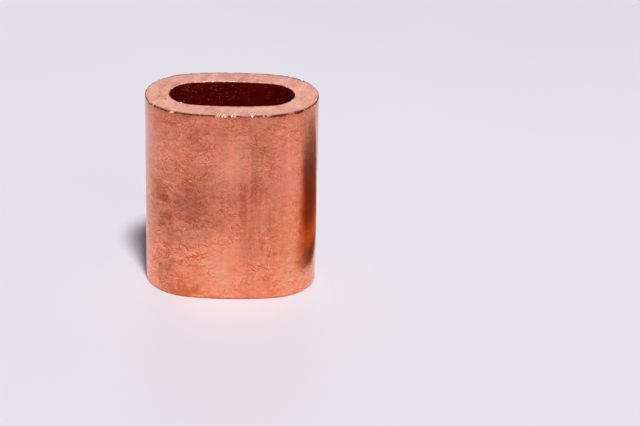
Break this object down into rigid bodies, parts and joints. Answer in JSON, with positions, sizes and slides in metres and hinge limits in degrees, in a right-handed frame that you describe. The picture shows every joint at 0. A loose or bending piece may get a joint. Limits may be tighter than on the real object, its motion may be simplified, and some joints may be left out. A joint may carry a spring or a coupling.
{
  "type": "copper wire ferrule",
  "caption": "Oval copper sleeve cut square at both ends, pressed over two strands of wire rope to close a loop.",
  "frame": {"origin": "middle of the hole, on the lower cut end that the ferrule stands on", "axes": "+Z along the tube, upwards; X across the oval's width, from one rope strand to the other; Y across its thickness"},
  "size_m": [0.0182, 0.0116, 0.0212],
  "materials": {
    "copper": "raw copper with a dull, lightly scratched and stained skin"
  },
  "bodies": {
    "root": {"ferrule": "copper"}
  },
  "joints": []
}
